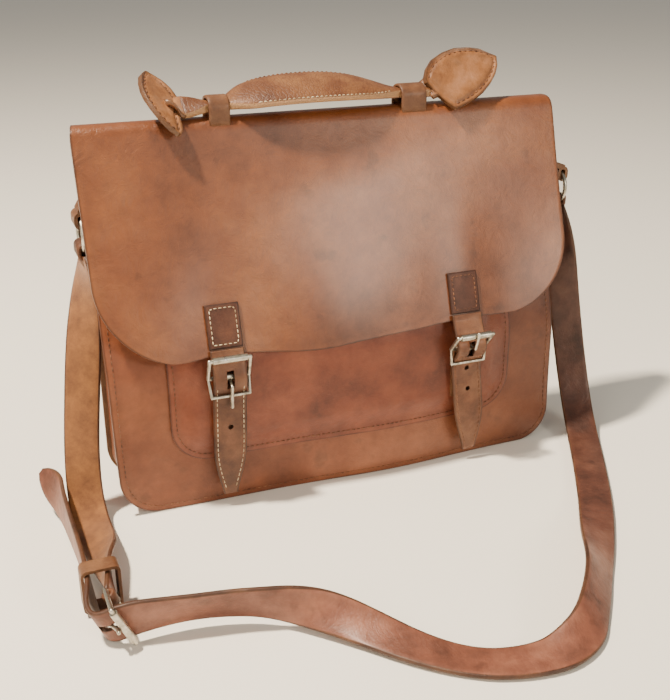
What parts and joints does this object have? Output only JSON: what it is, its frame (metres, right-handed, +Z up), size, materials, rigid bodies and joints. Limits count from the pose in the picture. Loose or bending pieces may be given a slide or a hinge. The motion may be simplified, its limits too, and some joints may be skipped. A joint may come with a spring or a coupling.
{
  "type": "satchel bag",
  "caption": "Vintage brown leather school satchel with a buckled flap, front patch pocket, padded top handle and a shoulder strap laid in front",
  "frame": {"origin": "The middle of the bottom of the bag, on the plane it stands on", "axes": "+Z up; -Y is the front, where the flap closes; +X is to the right as the front is seen"},
  "size_m": [0.4635, 0.3345, 0.3131],
  "materials": {
    "tan_leather": "Aged vegetable-tanned cowhide, satin, rubbed lighter at the edges",
    "strap_leather": "Harness leather, dull, stitched along both edges",
    "handle_leather": "Padded leather, crazed satin finish",
    "suede_lining": "Undyed flesh side of the leather, matt",
    "nickel_steel": "Nickel-plated steel wire, dulled"
  },
  "bodies": {
    "root": {"back_panel": "tan_leather", "gusset": "tan_leather", "front_panel": "tan_leather", "front_pocket": "tan_leather", "buckle_chape_left": "tan_leather", "buckle_chape_right": "tan_leather", "side_tab_left": "tan_leather", "side_tab_right": "tan_leather", "shoulder_strap_long": "strap_leather", "shoulder_strap_short": "strap_leather", "strap_buckle_frame": "nickel_steel", "strap_keeper": "strap_leather"},
    "flap": {"flap": "tan_leather", "strap_patch_left": "tan_leather", "strap_patch_right": "tan_leather", "handle_loop_left": "strap_leather", "handle_loop_right": "strap_leather"},
    "handle": {"handle_top": "handle_leather", "handle_lining": "suede_lining", "handle_core": "suede_lining"},
    "closure_strap_left": {"closure_strap_left": "strap_leather"},
    "closure_strap_right": {"closure_strap_right": "strap_leather"},
    "buckle_left": {"buckle_frame_left": "nickel_steel"},
    "buckle_right": {"buckle_frame_right": "nickel_steel"},
    "roller_left": {"buckle_roller_left": "nickel_steel"},
    "roller_right": {"buckle_roller_right": "nickel_steel"},
    "prong_left": {"buckle_prong_left": "nickel_steel"},
    "prong_right": {"buckle_prong_right": "nickel_steel"},
    "ring_left": {"side_ring_left": "nickel_steel"},
    "ring_right": {"side_ring_right": "nickel_steel"},
    "strap_roller": {"strap_buckle_roller": "nickel_steel"},
    "strap_prong": {"strap_buckle_prong": "nickel_steel"}
  },
  "joints": [
    {"name": "flap_hinge", "type": "hinge", "parent": "root", "child": "flap", "pos_m": [0, 0.0313, 0.2583], "axis": [-1, 0, 0], "range_deg": [0, 150], "deforming": ["closure_strap_left", "closure_strap_right"]},
    {"name": "handle_slide", "type": "slide", "parent": "flap", "child": "handle", "axis": [1, 0, 0], "range_m": [0, 0.008]},
    {"name": "strap_lift_left", "type": "hinge", "parent": "flap", "child": "closure_strap_left", "pos_m": [-0.099, -0.0426, 0.1235], "axis": [-1, 0, 0], "range_deg": [0, 60], "deforming": ["closure_strap_left", "closure_strap_right"]},
    {"name": "strap_lift_right", "type": "hinge", "parent": "flap", "child": "closure_strap_right", "pos_m": [0.09, -0.0426, 0.1235], "axis": [-1, 0, 0], "range_deg": [0, 60], "deforming": ["closure_strap_left", "closure_strap_right"]},
    {"name": "buckle_left", "type": "hinge", "parent": "root", "child": "buckle_left", "pos_m": [-0.099, -0.0432, 0.106], "axis": [1, 0, 0], "range_deg": [0, 12], "deforming": ["closure_strap_left", "closure_strap_right"]},
    {"name": "roller_left", "type": "hinge", "parent": "buckle_left", "child": "roller_left", "pos_m": [-0.099, -0.0489, 0.1215], "axis": [1, 0, 0], "continuous": true},
    {"name": "prong_left", "type": "hinge", "parent": "buckle_left", "child": "prong_left", "pos_m": [-0.099, -0.0432, 0.106], "axis": [-1, 0, 0], "range_deg": [0, 75], "deforming": ["closure_strap_left", "closure_strap_right"]},
    {"name": "buckle_right", "type": "hinge", "parent": "root", "child": "buckle_right", "pos_m": [0.09, -0.047, 0.101], "axis": [1, 0, 0], "range_deg": [0, 12], "deforming": ["closure_strap_left", "closure_strap_right"]},
    {"name": "roller_right", "type": "hinge", "parent": "buckle_right", "child": "roller_right", "pos_m": [0.09, -0.0577, 0.1136], "axis": [1, 0, 0], "continuous": true},
    {"name": "prong_right", "type": "hinge", "parent": "buckle_right", "child": "prong_right", "pos_m": [0.09, -0.047, 0.101], "axis": [1, 0, 0], "range_deg": [0, 75], "deforming": ["closure_strap_left", "closure_strap_right"]},
    {"name": "ring_left", "type": "hinge", "parent": "root", "child": "ring_left", "pos_m": [-0.1834, 0.015, 0.203], "axis": [1, 0, 0], "continuous": true},
    {"name": "ring_right", "type": "hinge", "parent": "root", "child": "ring_right", "pos_m": [0.199, 0.015, 0.203], "axis": [1, 0, 0], "continuous": true},
    {"name": "strap_roller", "type": "hinge", "parent": "root", "child": "strap_roller", "pos_m": [-0.2055, -0.177, 0.0183], "axis": [-0.4202, 0, 0.9074], "continuous": true},
    {"name": "strap_prong", "type": "hinge", "parent": "root", "child": "strap_prong", "pos_m": [-0.2055, -0.156, 0.0183], "axis": [0.4202, 0, -0.9074], "range_deg": [0, 60], "deforming": ["shoulder_strap_long", "shoulder_strap_short"]}
  ]
}
